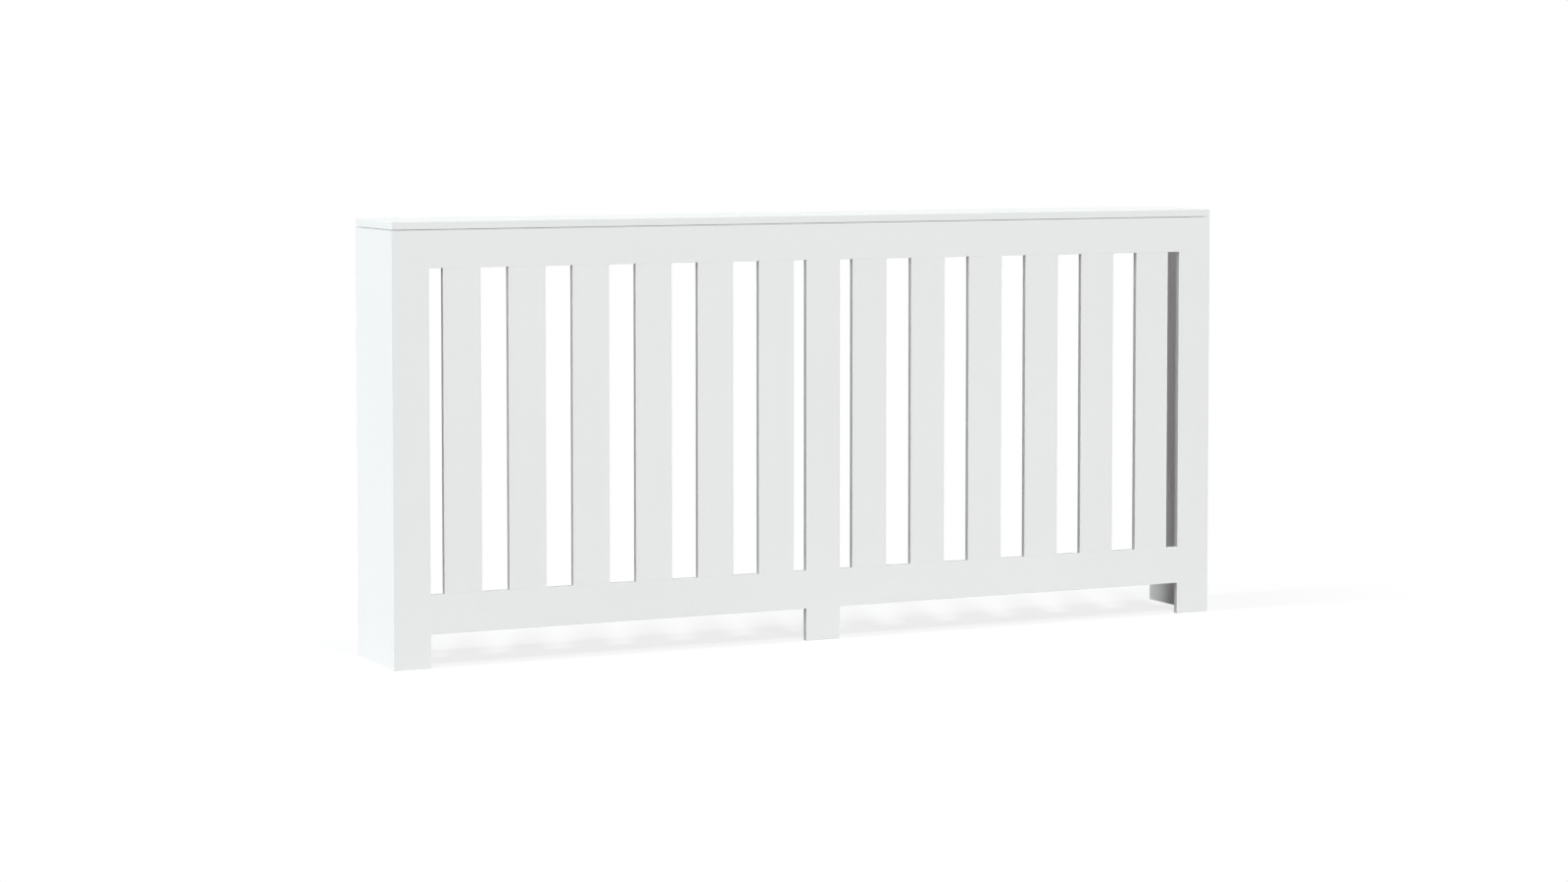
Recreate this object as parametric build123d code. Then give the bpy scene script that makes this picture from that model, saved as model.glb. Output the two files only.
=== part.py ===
"""Radiator cover cabinet: a flush lid over two side panels and a slatted front with three feet.

Millimetres. X runs along the front, to the right as seen from the room. Y runs from the front towards
the wall. Z is up. The origin is on the floor, under the middle of the lid.
"""

from build123d import *
import os

# ---- Cabinet ----
width = 1790
depth = 205
height = 840
lid_thickness = 15
lid_joint = 1  # open shadow line between the lid and the boards below it
side_thickness = 15
front_thickness = 12
edge_radius = 0.5
lid_edge_radius = 1
slat_end_chamfer = 0.3

# ---- Slatted front ----
post_width = 74
slat_width = 75.5
slats_per_bay = 6
top_rail_height = 71.5
bottom_rail_height = 75
foot_height = 64  # floor to the underside of the bottom rails

# ---- Dowels, two in each joint of the front ----
dowel_diameter = 6
dowel_length = 30
dowel_spread = 40
dowel_clearance = 0.1
dowel_end_clearance = 1

# ---- Battens inside the corners ----
batten_size = 18
batten_edge_radius = 1
batten_floor_gap = 10
batten_wall_gap = 20
post_screws_per_batten = 4
rail_screw_offset = 196  # from the middle of a bay, each way
lid_screw_offset = 294  # from the middle of a bay, each way
side_screw_inset = 26  # from each end of a side batten
side_lid_screw_inset = 52  # from each end of a side batten

# ---- Countersunk screws through the battens ----
screw_diameter = 3.5
screw_bite = 7  # into the board behind the batten
screw_tip = 4
screw_head_diameter = 7
screw_head_height = 2
screw_recess_width = 0.9
screw_recess_length = 4
screw_recess_depth = 1.2
screw_clearance = 0.1
screw_end_clearance = 1

# ---- Wall brackets and the short screws that hold them to the lid ----
bracket_leg = 50
bracket_width = 20
bracket_thickness = 2.5
bracket_inside_radius = 2
bracket_corner_radius = 4
bracket_end_distance = 295  # end of the cabinet to the middle of each bracket
bracket_hole_diameter = 5
bracket_first_hole = 18  # from the bracket's outer corner
bracket_hole_spacing = 22
bracket_screw_bite = 9.5  # into the lid
bracket_screw_head_height = 2.2

# ---- Planes and spaces that follow from these ----
lid_underside = height - lid_thickness
body_height = lid_underside - lid_joint
front_face = -depth / 2
frame_back = front_face + front_thickness
frame_middle = front_face + front_thickness / 2
wall_plane = depth / 2
inner_half_width = width / 2 - side_thickness

bay_width = (width - 3 * post_width) / 2
bay_centre = (post_width + bay_width) / 2
slat_pitch = bay_width / slats_per_bay
slat_bottom = foot_height + bottom_rail_height
slat_top = body_height - top_rail_height
slat_length = slat_top - slat_bottom
top_rail_middle = (slat_top + body_height) / 2
bottom_rail_middle = (foot_height + slat_bottom) / 2

batten_underside = lid_underside - batten_size
batten_middle = lid_underside - batten_size / 2
corner_batten_length = batten_underside - batten_floor_gap
corner_batten_x = inner_half_width - batten_size / 2
corner_batten_y = frame_back + batten_size / 2
side_batten_front = frame_back + batten_size
side_batten_rear = wall_plane - batten_wall_gap
screw_length = batten_size + screw_bite
bracket_screw_length = bracket_thickness + bracket_screw_bite
bracket_offset = width / 2 - bracket_end_distance

bay_centres = [-bay_centre, bay_centre]
slat_centres = [
    middle + slat_pitch * (i - (slats_per_bay - 1) / 2)
    for middle in bay_centres
    for i in range(slats_per_bay)
]
bracket_centres = [-bracket_offset, bracket_offset]
bracket_holes = [bracket_first_hole, bracket_first_hole + bracket_hole_spacing]
dowel_steps = [-dowel_spread / 2, dowel_spread / 2]


def block(x, y, z):
    """A box between two planes on each axis."""
    size = Box(x[1] - x[0], y[1] - y[0], z[1] - z[0])
    return Pos((x[0] + x[1]) / 2, (y[0] + y[1]) / 2, (z[0] + z[1]) / 2) * size


def place(shape, point, direction):
    """A shape made along +Z from the origin, put at a point and turned to a direction."""
    return Plane(origin=point, z_dir=direction) * shape


def solid_of(shape):
    """The one solid of a cut board."""
    return shape.solids()[0]


def group(shapes):
    """Separate solids that share one node."""
    return Compound([solid_of(shape) for shape in shapes])


# ---- Dowels ----

slat_dowel_points = {
    level: [(x + step, frame_middle, level) for x in slat_centres for step in dowel_steps]
    for level in (slat_top, slat_bottom)
}
rail_dowel_points = [
    (side * edge, frame_middle, middle + step)
    for side in (-1, 1)
    for edge in (post_width / 2, width / 2 - post_width)
    for middle in (top_rail_middle, bottom_rail_middle)
    for step in dowel_steps
]


def upright_dowel(point):
    return place(Cylinder(dowel_diameter / 2, dowel_length), point, (0, 0, 1))


def level_dowel(point):
    return place(Cylinder(dowel_diameter / 2, dowel_length), point, (1, 0, 0))


def dowel_bore():
    """The drilled space of one dowel, through both pieces of its joint."""
    radius = dowel_diameter / 2 + dowel_clearance
    return Cylinder(radius, dowel_length + 2 * dowel_end_clearance)


slat_dowel_bores = {
    level: [place(dowel_bore(), point, (0, 0, 1)) for point in points]
    for level, points in slat_dowel_points.items()
}
rail_dowel_bores = [place(dowel_bore(), point, (1, 0, 0)) for point in rail_dowel_points]


# ---- Screws ----


def turned(points):
    """A solid turned round Z from half of its section."""
    return revolve(make_face(Plane.XZ * Polyline(*points, close=True)), Axis.Z)


def cross_recess(top):
    """The driver's cross in a screw head, whose top is at the given height."""
    bar = Box(screw_recess_length, screw_recess_width, 2 * screw_recess_depth)
    return Pos(0, 0, top) * (bar + Rot(0, 0, 90) * bar)


def shank_points(length, clearance, end):
    """The section of a screw's shank and point, outwards from its axis."""
    radius = screw_diameter / 2 + clearance
    return [(radius, length - screw_tip + end), (0, length + end)]


def countersunk_section(clearance, end):
    radius = screw_head_diameter / 2 + clearance
    neck = (screw_diameter / 2 + clearance, screw_head_height)
    return [(0, 0), (radius, 0), neck] + shank_points(screw_length, clearance, end)


def batten_screw():
    """A countersunk screw along +Z, with the top of its head at the origin."""
    return turned(countersunk_section(0, 0)) - cross_recess(0)


def batten_screw_hole():
    return turned(countersunk_section(screw_clearance, screw_end_clearance))


def bracket_screw():
    """A pan-head screw along +Z, with the underside of its head at the origin."""
    radius = screw_head_diameter / 2
    crown = -bracket_screw_head_height
    head = [(0, crown), (radius / 2, crown), (radius, crown / 2), (radius, 0)]
    neck = [(screw_diameter / 2, 0)]
    return turned(head + neck + shank_points(bracket_screw_length, 0, 0)) - cross_recess(crown)


def bracket_screw_hole():
    radius = screw_diameter / 2 + screw_clearance
    length = bracket_screw_length + screw_end_clearance
    return Cylinder(radius, length, align=(Align.CENTER, Align.CENTER, Align.MIN))


def corner_screw_spots(side):
    """Where a corner batten is screwed to its post and, between those, to its side panel."""
    step = corner_batten_length / post_screws_per_batten
    rear = corner_batten_y + batten_size / 2
    inner = side * (corner_batten_x - batten_size / 2)
    to_post = [
        ((side * corner_batten_x, rear, batten_floor_gap + step * (i + 0.5)), (0, -1, 0))
        for i in range(post_screws_per_batten)
    ]
    to_side = [
        ((inner, corner_batten_y, batten_floor_gap + step * (i + 1)), (side, 0, 0))
        for i in range(post_screws_per_batten - 1)
    ]
    return to_post + to_side


def front_batten_screw_spots():
    """Where the front batten is screwed to the rails and centre post and, between those, to the lid."""
    rear = frame_back + batten_size
    rail_steps = (-rail_screw_offset, rail_screw_offset)
    lid_steps = (-lid_screw_offset, 0, lid_screw_offset)
    to_rails = [middle + step for middle in bay_centres for step in rail_steps]
    to_lid = [middle + step for middle in bay_centres for step in lid_steps]
    forwards = [((x, rear, batten_middle), (0, -1, 0)) for x in to_rails + [0]]
    upwards = [((x, corner_batten_y, batten_underside), (0, 0, 1)) for x in to_lid]
    return forwards + upwards


def side_batten_screw_spots(side):
    """Where a side batten is screwed to its side panel and, between those, to the lid."""
    inner = side * (inner_half_width - batten_size)
    to_side = [side_batten_front + side_screw_inset, side_batten_rear - side_screw_inset]
    to_lid = [side_batten_front + side_lid_screw_inset, side_batten_rear - side_lid_screw_inset]
    outwards = [((inner, y, batten_middle), (side, 0, 0)) for y in to_side]
    upwards = [((side * corner_batten_x, y, batten_underside), (0, 0, 1)) for y in to_lid]
    return outwards + upwards


def bracket_screw_spots():
    """Where the brackets are screwed to the lid."""
    return [
        ((x, wall_plane - hole, lid_underside - bracket_thickness), (0, 0, 1))
        for x in bracket_centres
        for hole in bracket_holes
    ]


corner_spots = {side: corner_screw_spots(side) for side in (-1, 1)}
side_batten_spots = {side: side_batten_screw_spots(side) for side in (-1, 1)}
front_batten_spots = front_batten_screw_spots()


def screw_holes(spots, direction=None):
    """The holes of the batten screws at these spots, or of those that point one way."""
    return [
        place(batten_screw_hole(), point, way)
        for point, way in spots
        if direction is None or way == direction
    ]


# ---- Slatted front ----


def frame_blank():
    """Posts and rails as one eased outline, so that their flush joints don't show."""
    depths = (front_face, frame_back)
    blank = block((-width / 2, width / 2), depths, (0, body_height))
    for middle in bay_centres:
        bay = (middle - bay_width / 2, middle + bay_width / 2)
        blank -= block(bay, depths, (slat_bottom, slat_top))
        blank -= block(bay, depths, (0, foot_height))
    faces = blank.faces().sort_by(Axis.Y)
    back_edges = [
        edge
        for edge in faces[-1].edges()
        if abs(edge.center().X) < width / 2 - edge_radius
        and edge.center().Z < body_height - edge_radius
    ]
    return fillet(list(faces[0].edges()) + back_edges, edge_radius)


front_blank = frame_blank()


def frame_piece(x, z, bores):
    """One post or rail, cut from the eased outline and drilled."""
    return solid_of((front_blank & block(x, (front_face, frame_back), z)) - bores)


def post(middle):
    """An upright of the front, from the floor to the shadow line."""
    span = (middle - post_width / 2, middle + post_width / 2)
    forwards = (0, -1, 0)
    spots = front_batten_spots
    if middle:
        spots = corner_spots[1 if middle > 0 else -1]
    near = [
        hole
        for hole in screw_holes(spots, forwards)
        if span[0] < hole.center().X < span[1]
    ]
    return frame_piece(span, (0, body_height), rail_dowel_bores + near)


def top_rail(middle):
    """The rail over one bay."""
    span = (middle - bay_width / 2, middle + bay_width / 2)
    bores = rail_dowel_bores + slat_dowel_bores[slat_top] + screw_holes(front_batten_spots, (0, -1, 0))
    return frame_piece(span, (slat_top, body_height), bores)


def bottom_rail(middle):
    """The rail under one bay."""
    span = (middle - bay_width / 2, middle + bay_width / 2)
    bores = rail_dowel_bores + slat_dowel_bores[slat_bottom]
    return frame_piece(span, (foot_height, slat_bottom), bores)


def slat(index):
    """One slat, flush with the rails, with its arrises taken off all round."""
    board = Box(slat_width, front_thickness, slat_length)
    board = fillet(board.edges().filter_by(Axis.Z), edge_radius)
    ends = board.faces().sort_by(Axis.Z)
    board = chamfer(list(ends[0].edges()) + list(ends[-1].edges()), slat_end_chamfer)
    board = Pos(slat_centres[index], frame_middle, (slat_bottom + slat_top) / 2) * board
    own = slice(len(dowel_steps) * index, len(dowel_steps) * (index + 1))
    return solid_of(board - (slat_dowel_bores[slat_top][own] + slat_dowel_bores[slat_bottom][own]))


# ---- Side panels and lid ----


def side_panel(side):
    """A side board, behind the front and down to the floor."""
    outer, inner = side * width / 2, side * inner_half_width
    board = block(sorted((outer, inner)), (frame_back, wall_plane), (0, body_height))
    eased = [edge for edge in board.edges() if edge.center().Y > frame_back + edge_radius]
    board = fillet(eased, edge_radius)
    spots = corner_spots[side] + side_batten_spots[side]
    return solid_of(board - screw_holes(spots, (side, 0, 0)))


def lid():
    """The top board, flush with the front, the sides and the wall."""
    board = block((-width / 2, width / 2), (front_face, wall_plane), (lid_underside, height))
    board = fillet(board.edges().filter_by(Axis.Z), lid_edge_radius)
    board = fillet(board.faces().sort_by(Axis.Z)[-1].edges(), lid_edge_radius)
    board = fillet(board.faces().sort_by(Axis.Z)[0].edges(), edge_radius)
    spots = front_batten_spots + side_batten_spots[-1] + side_batten_spots[1]
    holes = screw_holes(spots, (0, 0, 1))
    holes += [place(bracket_screw_hole(), point, way) for point, way in bracket_screw_spots()]
    return solid_of(board - holes)


# ---- Battens ----


def batten(x, y, z, length_axis):
    """A square stick between two planes on each axis, with its long edges eased."""
    stick = block(x, y, z)
    return fillet(stick.edges().filter_by(length_axis), batten_edge_radius)


def corner_batten(side):
    """The upright batten in the corner of a post and a side panel."""
    inner = side * (inner_half_width - batten_size)
    stick = batten(
        sorted((side * inner_half_width, inner)),
        (frame_back, frame_back + batten_size),
        (batten_floor_gap, batten_underside),
        Axis.Z,
    )
    return solid_of(stick - screw_holes(corner_spots[side]))


def front_batten():
    """The long batten behind the top rails, which the lid rests on."""
    stick = batten(
        (-inner_half_width, inner_half_width),
        (frame_back, frame_back + batten_size),
        (batten_underside, lid_underside),
        Axis.X,
    )
    return solid_of(stick - screw_holes(front_batten_spots))


def side_batten(side):
    """The short batten at the top of a side panel, which the lid rests on."""
    inner = side * (inner_half_width - batten_size)
    stick = batten(
        sorted((side * inner_half_width, inner)),
        (side_batten_front, side_batten_rear),
        (batten_underside, lid_underside),
        Axis.Y,
    )
    return solid_of(stick - screw_holes(side_batten_spots[side]))


# ---- Brackets ----


def wall_bracket(middle):
    """A steel angle under the rear of the lid: one leg to the lid, one to the wall."""
    span = (middle - bracket_width / 2, middle + bracket_width / 2)
    tip_y, tip_z = wall_plane - bracket_leg, lid_underside - bracket_leg
    level = block(span, (tip_y, wall_plane), (lid_underside - bracket_thickness, lid_underside))
    upright = block(span, (wall_plane - bracket_thickness, wall_plane), (tip_z, lid_underside))
    angle = level + upright
    bends = angle.edges().filter_by(Axis.X)
    inner_corner = (middle, wall_plane - bracket_thickness, lid_underside - bracket_thickness)
    outer_corner = (middle, wall_plane, lid_underside)
    angle = fillet(bends.sort_by_distance(inner_corner)[0], bracket_inside_radius)
    bends = angle.edges().filter_by(Axis.X)
    outside_radius = bracket_inside_radius + bracket_thickness
    angle = fillet(bends.sort_by_distance(outer_corner)[0], outside_radius)
    tips = angle.faces().sort_by(Axis.Y)[0].edges().filter_by(Axis.Z)
    tips += angle.faces().sort_by(Axis.Z)[0].edges().filter_by(Axis.Y)
    angle = fillet(tips, bracket_corner_radius)
    drill = Cylinder(bracket_hole_diameter / 2, bracket_leg)
    for hole in bracket_holes:
        angle -= place(drill, (middle, wall_plane - hole, lid_underside), (0, 0, 1))
        angle -= place(drill, (middle, wall_plane, lid_underside - hole), (0, 1, 0))
    return solid_of(angle)


# ---- The cabinet's nodes ----

batten_spots = [spot for side in (-1, 1) for spot in side_batten_spots[side]] + front_batten_spots
parts = {
    "lid": lid(),
    "left_side_panel": side_panel(-1),
    "right_side_panel": side_panel(1),
    "left_post": post(-(width - post_width) / 2),
    "centre_post": post(0),
    "right_post": post((width - post_width) / 2),
    "left_top_rail": top_rail(-bay_centre),
    "right_top_rail": top_rail(bay_centre),
    "left_bottom_rail": bottom_rail(-bay_centre),
    "right_bottom_rail": bottom_rail(bay_centre),
    "left_corner_batten": corner_batten(-1),
    "right_corner_batten": corner_batten(1),
    "front_lid_batten": front_batten(),
    "left_lid_batten": side_batten(-1),
    "right_lid_batten": side_batten(1),
    "left_wall_bracket": wall_bracket(-bracket_offset),
    "right_wall_bracket": wall_bracket(bracket_offset),
    "slat_top_dowels": group(upright_dowel(point) for point in slat_dowel_points[slat_top]),
    "slat_bottom_dowels": group(upright_dowel(point) for point in slat_dowel_points[slat_bottom]),
    "rail_dowels": group(level_dowel(point) for point in rail_dowel_points),
    "corner_batten_screws": group(
        place(batten_screw(), point, way) for side in (-1, 1) for point, way in corner_spots[side]
    ),
    "lid_batten_screws": group(place(batten_screw(), point, way) for point, way in batten_spots),
    "bracket_screws": group(place(bracket_screw(), point, way) for point, way in bracket_screw_spots()),
}
for i in range(len(slat_centres)):
    parts[f"slat_{i + 1:02d}"] = slat(i)

os.makedirs("parts", exist_ok=True)
for name, shape in parts.items():
    export_step(shape, f"parts/{name}.step")
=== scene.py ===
"""Looks for the radiator cover cabinet.

White satin paint on the boards, painted timber battens, zinc-plated steel, raw beech, and soft studio light.
"""

import math

import bpy
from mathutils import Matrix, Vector


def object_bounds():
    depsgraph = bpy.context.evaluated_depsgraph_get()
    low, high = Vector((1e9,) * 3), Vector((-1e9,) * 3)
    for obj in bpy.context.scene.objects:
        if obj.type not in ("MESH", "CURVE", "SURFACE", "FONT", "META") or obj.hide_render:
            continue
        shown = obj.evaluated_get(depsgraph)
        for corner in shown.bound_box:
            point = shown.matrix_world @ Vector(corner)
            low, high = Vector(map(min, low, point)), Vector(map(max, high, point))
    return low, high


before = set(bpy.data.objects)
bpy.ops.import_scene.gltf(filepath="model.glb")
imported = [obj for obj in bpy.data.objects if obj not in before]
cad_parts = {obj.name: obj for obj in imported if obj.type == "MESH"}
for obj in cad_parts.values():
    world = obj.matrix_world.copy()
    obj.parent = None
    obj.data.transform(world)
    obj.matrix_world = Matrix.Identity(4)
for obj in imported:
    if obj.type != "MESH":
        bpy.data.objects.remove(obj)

CAD_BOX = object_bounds()

X, Y, Z = 0, 1, 2

# Sockets of a Mix node that mixes colours
MIX_SHARE, MIX_A, MIX_B, MIXED = 0, 6, 7, 2

# Camera, fitted to the photograph's edges. It looks down a little, so that its vertical shift stays small.
LENS_PIXELS = 3594.27
FRAME_PIXELS = 1600
SENSOR = 36
CAMERA_PLACE = (-3.06845, -6.30777, 1.06753)
YAW = math.radians(25.6707)
PITCH = math.radians(3.26027)
SHIFT_Y = -0.09
FARTHEST_SEEN = 200

# Noise patterns: repeats per metre, detail, roughness
CLOUDS = (3.0, 3.0, 0.55)
MOTTLE = (55.0, 3.0, 0.6)
ORANGE_PEEL = (380.0, 2.0, 0.5)
FUZZ = (1500.0, 3.0, 0.65)
GROWTH_RINGS = (260.0, 3.0, 0.6)
FIBRES = (1400.0, 2.0, 0.6)
BRUSH_MARKS = (700.0, 2.0, 0.5)
ROLLING_MARKS = (1800.0, 2.0, 0.5)
PATCHES = (90.0, 3.0, 0.6)
BEECH_FIGURE = (500.0, 3.0, 0.6)
BEECH_FLECKS = (2600.0, 1.0, 0.5)

# Cell patterns, in cells per metre
KNOTS = 9.0
SPANGLE = 420.0

# The part of a noise pattern's range that most of its values fall in
COMMON_SPAN = (0.3, 0.7)

# The direction in which a material's offset moves its patterns
OFFSET_WAY = (1.0, 0.7, 0.3)

# Colours are linear, tones are factors of a colour, and reliefs are in metres. IN_TONE and HEIGHT are the weights of
# patterns that are added up, and a SQUEEZE draws a pattern out along the grain.

# Painted boards
WHITE_PAINT = (0.793, 0.81, 0.802)
PAINT_TONES = (0.99, 1.008)
PAINT_TONE_SPAN = (0.35, 0.65)
CLOUDS_IN_TONE, MOTTLE_IN_TONE = 0.7, 0.3
PAINT_ROUGHNESS = (0.42, 0.5)
PAINT_RELIEF = 0.00005

# Their sawn edges, which are told from the faces by how far the normal points across the board
FACING_AT_FACE, FACING_AT_EDGE = 0.95, 0.5
FUZZ_ON_FACE, FUZZ_ON_EDGE = 0.15, 1.2
EDGE_DULLNESS = 0.07

# Painted battens
BATTEN_PAINT = (0.79, 0.795, 0.78)
GRAIN_TONES = (1.0, 0.94)
GRAIN_SPAN = (0.4, 0.62)
GRAIN_SQUEEZE = 0.045
BRUSH_SQUEEZE = 0.02
KNOT_SQUEEZE = 0.35
KNOT_COLOUR = (0.66, 0.60, 0.47)
KNOT_RIM = (0.16, 0.08)
KNOT_SHOWS = 0.5
RING_HEIGHT, FIBRE_HEIGHT, BRUSH_HEIGHT = 0.7, 0.25, 0.5
TIMBER_ROUGHNESS = (0.46, 0.62)
TIMBER_RELIEF = 0.00018

# Zinc plate
BRACKET_ZINC = (0.60, 0.62, 0.64)
BRACKET_ROUGHNESS = (0.3, 0.44)
SCREW_ZINC = (0.66, 0.67, 0.68)
SCREW_ROUGHNESS = (0.24, 0.36)
ZINC_TONES = (0.88, 1.06)
ZINC_TONE_SPAN = (0.25, 0.75)
ZINC_ROUGHNESS_SPAN = (0.2, 0.8)
SPANGLE_IN_TONE, PATCHES_IN_TONE = 0.5, 0.5
ROLLING_SQUEEZE = 0.05
ROLLING_HEIGHT, PATCH_HEIGHT = 0.6, 1.0
ZINC_RELIEF = 0.00003

# Raw beech
BEECH = (0.62, 0.44, 0.27)
BEECH_TONES = (0.86, 1.1)
BEECH_SQUEEZE = 0.12
FLECK_TONE = 0.5
FLECK_SPAN = (0.58, 0.68)
FLECK_SHOWS = 0.5
BEECH_ROUGHNESS = (0.6, 0.75)
BEECH_RELIEF = 0.00005

# Floor and backdrop. The camera sees them white, with a share of shadow that fades out with the distance from the
# cabinet in metres. The cabinet gets back the light that a floor of FLOOR_COLOUR gives.
WHITE = (1, 1, 1)
FLOOR_SIDE = 60
FLOOR_COLOUR = (0.375, 0.325, 0.338)
SHADED_FLOOR = (0.95, 0.95, 0.95)
SHADOW_SHARE = 0.2
SHADOW_FADE = (0.0, 0.6)

# Distant softboxes: name, azimuth from the front, height and width in degrees, strength on white, colour
LAMPS = [
    ("left_front", -75, 50, 20, 0.148, (0.965, 1.0, 1.01)),
    ("left_low", -87, 15, 6, 0.181, (0.95, 1.0, 1.02)),
    ("left_high", -90, 50, 3, 0.163, (0.962, 1.0, 1.01)),
    ("left_back", -91, 20, 4, 0.488, (0.95, 1.0, 1.02)),
    ("front", 5, 12, 30, 0.473, (0.96, 1.0, 0.985)),
    ("front_high", -22, 50, 8, 0.495, (0.982, 1.0, 0.99)),
    ("right", 86, 15, 10, 0.45, (0.985, 1.0, 0.995)),
    ("back", 165, 20, 20, 0.085, (1.0, 1.0, 1.0)),
]

# Where the lamps' objects stand. Their light depends on their direction alone.
AIM = Vector((0, 0, 0.42))
LAMP_DISTANCE = 5


# ---- Node helpers ----


class Nodes:
    """A shader tree that is filled node by node."""

    def __init__(self, tree):
        tree.nodes.clear()
        self.tree = tree

    def add(self, kind, inputs=None, **settings):
        node = self.tree.nodes.new(kind)
        for key, value in settings.items():
            setattr(node, key, value)
        for key, value in (inputs or {}).items():
            if isinstance(value, bpy.types.NodeSocket):
                self.tree.links.new(value, node.inputs[key])
            else:
                node.inputs[key].default_value = value
        return node

    def place(self):
        """Where a point of the piece is, in metres."""
        return self.add("ShaderNodeTexCoord").outputs["Object"]

    def axes(self, vector):
        return self.add("ShaderNodeSeparateXYZ", {0: vector}).outputs

    def moved(self, vector, offset):
        """Another part of the pattern, so that two materials don't show the same."""
        shift = [offset * part for part in OFFSET_WAY]
        return self.add("ShaderNodeVectorMath", {0: vector, 1: shift}, operation="ADD").outputs[0]

    def drawn_out(self, vector, squeeze, *along):
        """Draws a pattern out along some axes, by squeezing the place that it is read at."""
        scale = [squeeze if axis in along else 1.0 for axis in (X, Y, Z)]
        return self.add("ShaderNodeMapping", {"Vector": vector, "Scale": scale}, vector_type="POINT").outputs[0]

    def noise(self, vector, pattern):
        scale, detail, roughness = pattern
        inputs = {"Vector": vector, "Scale": scale, "Detail": detail, "Roughness": roughness}
        return self.add("ShaderNodeTexNoise", inputs).outputs[0]

    def cells(self, vector, scale):
        return self.add("ShaderNodeTexVoronoi", {"Vector": vector, "Scale": scale}).outputs

    def math(self, operation, a, b=0.0, c=0.0):
        return self.add("ShaderNodeMath", {0: a, 1: b, 2: c}, operation=operation).outputs[0]

    def weighted(self, *terms):
        """The sum of values, each times its weight."""
        total = 0.0
        for value, weight in reversed(terms):
            total = self.math("MULTIPLY_ADD", value, weight, total)
        return total

    def remap(self, value, span, to=(0.0, 1.0)):
        inputs = {"Value": value, "From Min": span[0], "From Max": span[1], "To Min": to[0], "To Max": to[1]}
        return self.add("ShaderNodeMapRange", inputs).outputs[0]

    def mix(self, share, a, b):
        """Colour a where share is 0, and b where it is 1."""
        a, b = (colour if isinstance(colour, bpy.types.NodeSocket) else opaque(colour) for colour in (a, b))
        return self.add("ShaderNodeMix", {MIX_SHARE: share, MIX_A: a, MIX_B: b}, data_type="RGBA").outputs[MIXED]

    def bump(self, height, distance):
        return self.add("ShaderNodeBump", {"Height": height, "Distance": distance}).outputs[0]

    def principled(self, inputs):
        shader = self.add("ShaderNodeBsdfPrincipled", inputs)
        self.add("ShaderNodeOutputMaterial", {"Surface": shader.outputs[0]})


def opaque(colour):
    return (*colour, 1)


def tones(colour, factors):
    return [tuple(channel * factor for channel in colour) for factor in factors]


def material(name):
    made = bpy.data.materials.new(name)
    made.use_nodes = True
    return made, Nodes(made.node_tree)


# ---- Materials ----


def edge_mask(n, face_axis):
    """0 on a board's two faces and 1 on its sawn edges."""
    normal = n.add("ShaderNodeTexCoord").outputs["Normal"]
    facing = n.math("ABSOLUTE", n.axes(normal)[face_axis])
    return n.remap(facing, (FACING_AT_FACE, FACING_AT_EDGE))


def satin_paint(name, face_axis, offset):
    """Sprayed satin paint on fibreboard: faint orange peel, and edges that drink the paint and dry duller."""
    made, n = material(name)
    place = n.moved(n.place(), offset)
    edge = edge_mask(n, face_axis)
    mottle = n.noise(place, MOTTLE)
    tone = n.weighted((n.noise(place, CLOUDS), CLOUDS_IN_TONE), (mottle, MOTTLE_IN_TONE))
    face = n.mix(n.remap(tone, PAINT_TONE_SPAN), *tones(WHITE_PAINT, PAINT_TONES))
    fuzz_height = n.remap(edge, (0.0, 1.0), (FUZZ_ON_FACE, FUZZ_ON_EDGE))
    height = n.math("MULTIPLY_ADD", n.noise(place, FUZZ), fuzz_height, n.noise(place, ORANGE_PEEL))
    rough = n.math("MULTIPLY_ADD", edge, EDGE_DULLNESS, n.remap(mottle, COMMON_SPAN, PAINT_ROUGHNESS))
    base = n.mix(edge, face, WHITE_PAINT)
    n.principled({"Base Color": base, "Roughness": rough, "Normal": n.bump(height, PAINT_RELIEF)})
    return made


def painted_timber(name, length_axis, offset):
    """Thin white paint on a planed pine batten: the grain, a few knots and brush marks show through."""
    made, n = material(name)
    place = n.moved(n.place(), offset)
    grained = n.drawn_out(place, GRAIN_SQUEEZE, length_axis)
    rings = n.noise(grained, GROWTH_RINGS)
    fibres = n.noise(grained, FIBRES)
    brushed = n.noise(n.drawn_out(place, BRUSH_SQUEEZE, length_axis), BRUSH_MARKS)
    knots = n.cells(n.drawn_out(place, KNOT_SQUEEZE, length_axis), KNOTS)["Distance"]
    grain = n.mix(n.remap(rings, GRAIN_SPAN), *tones(BATTEN_PAINT, GRAIN_TONES))
    base = n.mix(n.math("MULTIPLY", n.remap(knots, KNOT_RIM), KNOT_SHOWS), grain, KNOT_COLOUR)
    height = n.weighted((rings, RING_HEIGHT), (fibres, FIBRE_HEIGHT), (brushed, BRUSH_HEIGHT))
    rough = n.remap(brushed, COMMON_SPAN, TIMBER_ROUGHNESS)
    n.principled({"Base Color": base, "Roughness": rough, "Normal": n.bump(height, TIMBER_RELIEF)})
    return made


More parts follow.
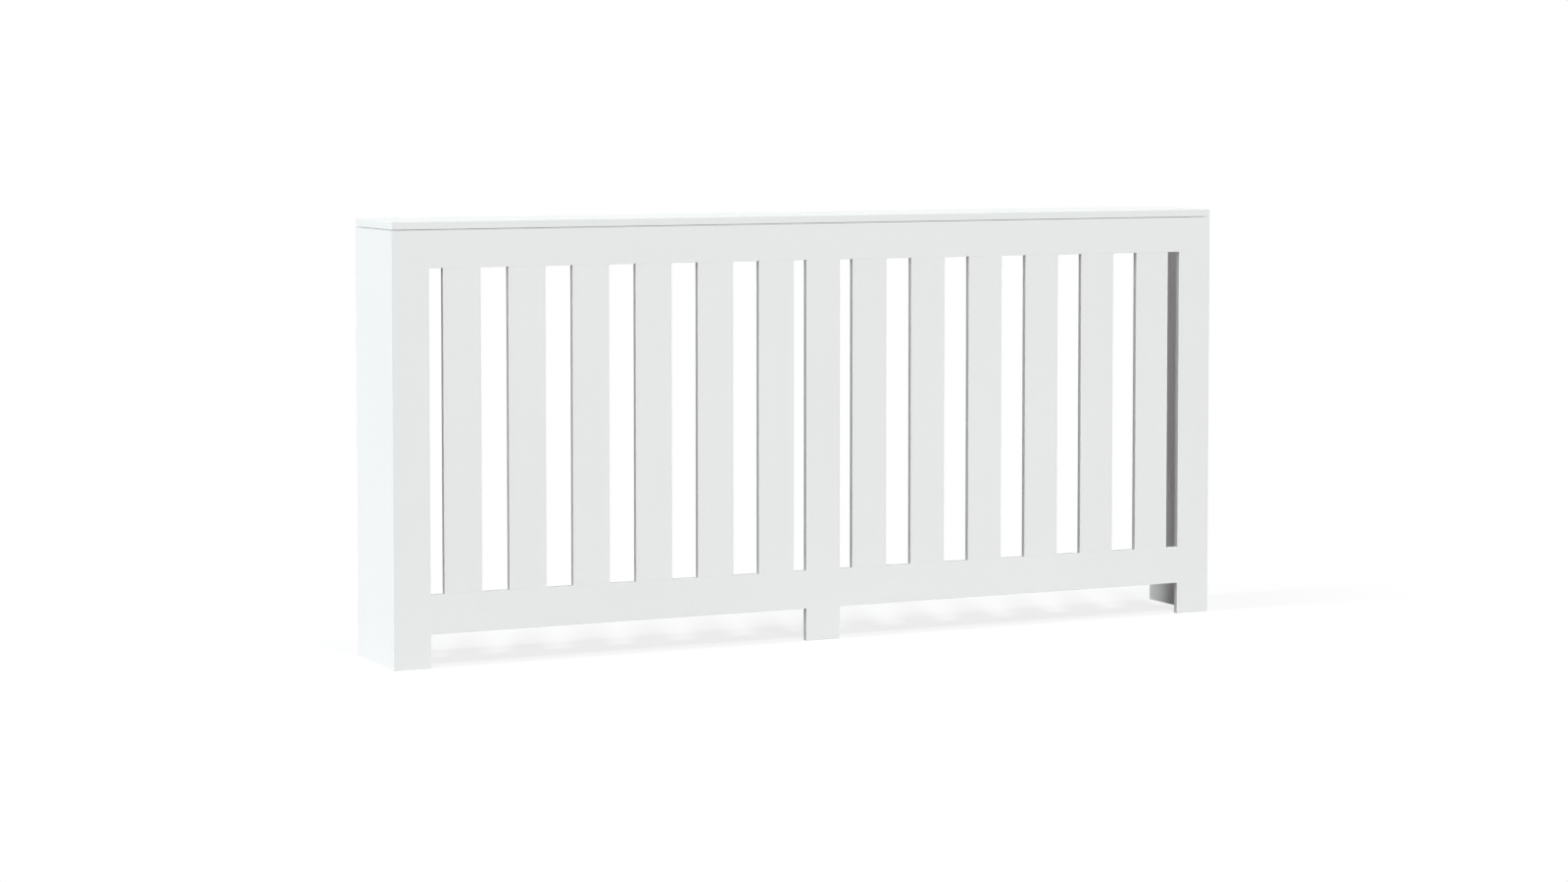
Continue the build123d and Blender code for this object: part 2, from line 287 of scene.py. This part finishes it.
def zinc_plate(name, colour, roughness):
    """Bright zinc on pressed steel: a faint spangle, rolling marks and duller handled patches."""
    made, n = material(name)
    place = n.place()
    spangle = n.axes(n.cells(place, SPANGLE)["Color"])[X]
    patches = n.noise(place, PATCHES)
    rolled = n.noise(n.drawn_out(place, ROLLING_SQUEEZE, Y, Z), ROLLING_MARKS)
    tone = n.weighted((spangle, SPANGLE_IN_TONE), (patches, PATCHES_IN_TONE))
    base = n.mix(n.remap(tone, ZINC_TONE_SPAN), *tones(colour, ZINC_TONES))
    rough = n.remap(tone, ZINC_ROUGHNESS_SPAN, roughness)
    normal = n.bump(n.weighted((rolled, ROLLING_HEIGHT), (patches, PATCH_HEIGHT)), ZINC_RELIEF)
    n.principled({"Base Color": base, "Metallic": 1.0, "Roughness": rough, "Normal": normal})
    return made


def raw_beech(name, length_axis):
    """Unfinished beech: fine darker flecks along the grain."""
    made, n = material(name)
    grained = n.drawn_out(n.place(), BEECH_SQUEEZE, length_axis)
    figure = n.noise(grained, BEECH_FIGURE)
    flecks = n.remap(n.noise(grained, BEECH_FLECKS), FLECK_SPAN)
    dark, light, fleck = tones(BEECH, (*BEECH_TONES, FLECK_TONE))
    base = n.mix(n.math("MULTIPLY", flecks, FLECK_SHOWS), n.mix(figure, dark, light), fleck)
    rough = n.remap(figure, COMMON_SPAN, BEECH_ROUGHNESS)
    n.principled({"Base Color": base, "Roughness": rough, "Normal": n.bump(figure, BEECH_RELIEF)})
    return made


def dress(names, made):
    for name in names:
        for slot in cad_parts[name].material_slots:
            slot.link = "OBJECT"
            slot.material = made


def boards(*words):
    """The boards whose names hold one of the words. Their dowels have names like theirs, and are left out."""
    return [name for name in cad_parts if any(word in name for word in words) and "dowels" not in name]


def dress_cabinet():
    dress(boards("_post", "_rail"), satin_paint("front_satin_paint", Y, 0.0))
    dress(boards("_side_panel"), satin_paint("side_satin_paint", X, 1.7))
    dress(boards("slat_"), satin_paint("slat_satin_paint", Y, 3.1))
    dress(["lid"], satin_paint("lid_satin_paint", Z, 5.3))
    dress(["left_corner_batten", "right_corner_batten"], painted_timber("upright_painted_timber", Z, 0.0))
    dress(["front_lid_batten"], painted_timber("long_painted_timber", X, 2.3))
    dress(["left_lid_batten", "right_lid_batten"], painted_timber("short_painted_timber", Y, 4.1))
    brackets = ["left_wall_bracket", "right_wall_bracket"]
    dress(brackets, zinc_plate("bracket_zinc", BRACKET_ZINC, BRACKET_ROUGHNESS))
    screws = ["corner_batten_screws", "lid_batten_screws", "bracket_screws"]
    dress(screws, zinc_plate("screw_zinc", SCREW_ZINC, SCREW_ROUGHNESS))
    dress(["slat_top_dowels", "slat_bottom_dowels"], raw_beech("upright_beech", Z))
    dress(["rail_dowels"], raw_beech("level_beech", X))


# ---- Stage ----


def seen(n):
    """1 for the rays that show the background: the camera's, and those that metal or glass sends on."""
    path = n.add("ShaderNodeLightPath").outputs
    both = n.math("MAXIMUM", path["Is Camera Ray"], path["Is Glossy Ray"])
    return n.math("MAXIMUM", both, path["Is Transmission Ray"])


def distance_from_cabinet(n):
    """How far a point of the floor is from the cabinet's box, whose middle is at the origin."""
    place = n.axes(n.place())
    squares = []
    for axis in (X, Y):
        beyond = n.math("SUBTRACT", n.math("ABSOLUTE", place[axis]), CAD_BOX[1][axis])
        outside = n.math("MAXIMUM", beyond, 0.0)
        squares.append(n.math("MULTIPLY", outside, outside))
    return n.math("SQRT", n.math("ADD", *squares))


def floor_material():
    made, n = material("pale_floor")
    plain = n.add("ShaderNodeBsdfDiffuse", {"Color": opaque(FLOOR_COLOUR)})
    white = n.add("ShaderNodeEmission", {"Color": opaque(WHITE), "Strength": 1.0})
    shaded = n.add("ShaderNodeBsdfDiffuse", {"Color": opaque(SHADED_FLOOR)})
    share = n.remap(distance_from_cabinet(n), SHADOW_FADE, (SHADOW_SHARE, 0.0))
    shown = n.add("ShaderNodeMixShader", {0: share, 1: white.outputs[0], 2: shaded.outputs[0]})
    shader = n.add("ShaderNodeMixShader", {0: seen(n), 1: plain.outputs[0], 2: shown.outputs[0]})
    n.add("ShaderNodeOutputMaterial", {"Surface": shader.outputs[0]})
    return made


def add_floor():
    half = FLOOR_SIDE / 2
    corners = [(-half, -half, 0), (half, -half, 0), (half, half, 0), (-half, half, 0)]
    mesh = bpy.data.meshes.new("floor")
    mesh.from_pydata(corners, [], [(0, 1, 2, 3)])
    mesh.materials.append(floor_material())
    floor = bpy.data.objects.new("floor", mesh)
    bpy.context.scene.collection.objects.link(floor)


def add_world():
    world = bpy.data.worlds.new("studio")
    world.use_nodes = True
    n = Nodes(world.node_tree)
    backdrop = n.add("ShaderNodeBackground", {"Color": opaque(WHITE), "Strength": seen(n)})
    n.add("ShaderNodeOutputWorld", {"Surface": backdrop.outputs[0]})
    bpy.context.scene.world = world


def stand(name, data, place, direction):
    """Puts a lamp or camera in the scene, at a place, looking along a direction."""
    made = bpy.data.objects.new(name, data)
    made.location = place
    made.rotation_euler = direction.to_track_quat("-Z", "Y").to_euler()
    bpy.context.scene.collection.objects.link(made)
    return made


def add_lamps():
    for name, azimuth, height, width, strength, colour in LAMPS:
        turn, rise = math.radians(azimuth), math.radians(height)
        away = Vector((math.sin(turn) * math.cos(rise), -math.cos(turn) * math.cos(rise), math.sin(rise)))
        lamp = bpy.data.lights.new(name, "SUN")
        lamp.angle = math.radians(width)
        lamp.energy = math.pi * strength
        lamp.color = colour
        softbox = stand(name, lamp, AIM + away * LAMP_DISTANCE, -away)
        softbox.visible_camera = False
        softbox.visible_glossy = False


def add_camera():
    data = bpy.data.cameras.new("camera")
    data.sensor_width = SENSOR
    data.lens = LENS_PIXELS / FRAME_PIXELS * SENSOR
    data.shift_y = SHIFT_Y
    data.clip_end = FARTHEST_SEEN
    look = Vector((math.sin(YAW) * math.cos(PITCH), math.cos(YAW) * math.cos(PITCH), -math.sin(PITCH)))
    bpy.context.scene.camera = stand("camera", data, CAMERA_PLACE, look)


def main():
    bpy.context.scene.view_settings.view_transform = "Standard"
    dress_cabinet()
    add_floor()
    add_world()
    add_lamps()
    add_camera()


main()
